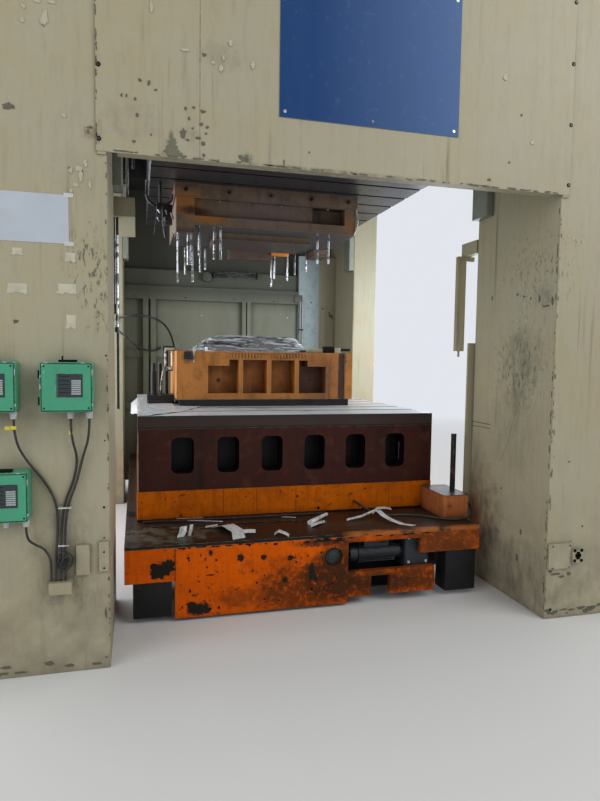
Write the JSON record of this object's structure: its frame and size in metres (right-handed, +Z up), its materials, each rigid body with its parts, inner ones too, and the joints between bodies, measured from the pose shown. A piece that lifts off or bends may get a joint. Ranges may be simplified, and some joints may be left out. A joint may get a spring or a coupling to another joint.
{
  "type": "hydraulic press",
  "caption": "Frame hydraulic press with clad posts, a ram slide carrying an upper die, and a lower die on a bolster that rolls out through the front opening.",
  "frame": {"origin": "on the floor, at the centre of the footprint", "axes": "+X across the front from left to right, +Y from the front to the rear, +Z up along the ram's travel"},
  "size_m": [4.556, 4.926, 7.04],
  "materials": {
    "cream_paint": "aged satin paint",
    "green_grey_paint": "aged satin paint",
    "orange_paint": "worn satin paint, greasy",
    "die_orange": "worn paint on cast iron",
    "maroon_iron": "oily cast iron",
    "dark_steel": "oily dark steel",
    "machined_steel": "machined, oily",
    "bright_steel": "ground and polished",
    "galvanised_sheet": "bright sheet",
    "teal_paint": "gloss paint",
    "blue_sheet": "satin sheet",
    "white_sheet": "matte sheet",
    "motor_grey": "dusty cast housing",
    "rubber_hose": "satin"
  },
  "bodies": {
    "frame": {"post_front_left": "cream_paint", "post_front_right": "cream_paint", "post_rear_left": "cream_paint", "post_rear_right": "cream_paint", "cladding_left": "cream_paint", "cladding_right": "cream_paint", "front_lintel": "cream_paint", "rear_lintel": "cream_paint", "side_panels": "cream_paint", "crown": "cream_paint", "cylinders": "machined_steel", "tie_rod_nuts": "machined_steel", "guide_rails": "green_grey_paint", "side_bracket_left": "cream_paint", "side_bracket_right": "cream_paint", "guard_post_left": "dark_steel", "guard_post_right": "cream_paint", "rear_guard_panel": "green_grey_paint", "rear_guard_posts": "green_grey_paint", "rear_guard_rails": "green_grey_paint", "sign_plate": "blue_sheet", "notice_sheet": "white_sheet", "control_box_upper_left": "teal_paint", "control_box_upper_right": "teal_paint", "control_box_lower": "teal_paint", "service_covers": "cream_paint", "cable_inlet": "cream_paint", "rear_guard_door_post": "green_grey_paint", "rear_guard_end_post": "cream_paint", "cable_right_inner": "rubber_hose", "cable_right_outer": "rubber_hose", "cable_left": "rubber_hose", "cable_lower": "rubber_hose", "hose_upper": "rubber_hose", "hose_lower": "rubber_hose"},
    "slide": {"slide_block": "dark_steel", "slide_shoes": "dark_steel", "plungers": "bright_steel", "upper_die_plate": "die_orange", "upper_die": "die_orange", "die_pins": "bright_steel"},
    "bolster": {"bolster": "maroon_iron", "bolster_slab": "machined_steel", "bolster_base": "orange_paint", "carriage_deck": "orange_paint", "carriage_beam_right": "orange_paint", "carriage_beam_left": "orange_paint", "carriage_front_plate": "orange_paint", "carriage_rear_plate": "orange_paint", "carriage_cheeks": "dark_steel", "carriage_wheels": "dark_steel", "drive_motor": "motor_grey", "gearbox": "motor_grey", "die_riser": "dark_steel", "lower_die": "die_orange", "stamped_panel": "galvanised_sheet", "die_lifters": "dark_steel", "corner_housing": "orange_paint", "cable_deck": "rubber_hose"}
  },
  "joints": [
    {"name": "slide_ram", "type": "slide", "parent": "frame", "child": "slide", "axis": [0, 0, -1], "range_m": [0, 0.73]},
    {"name": "bolster_travel", "type": "slide", "parent": "frame", "child": "bolster", "axis": [0, -1, 0], "range_m": [0, 3.4]}
  ]
}
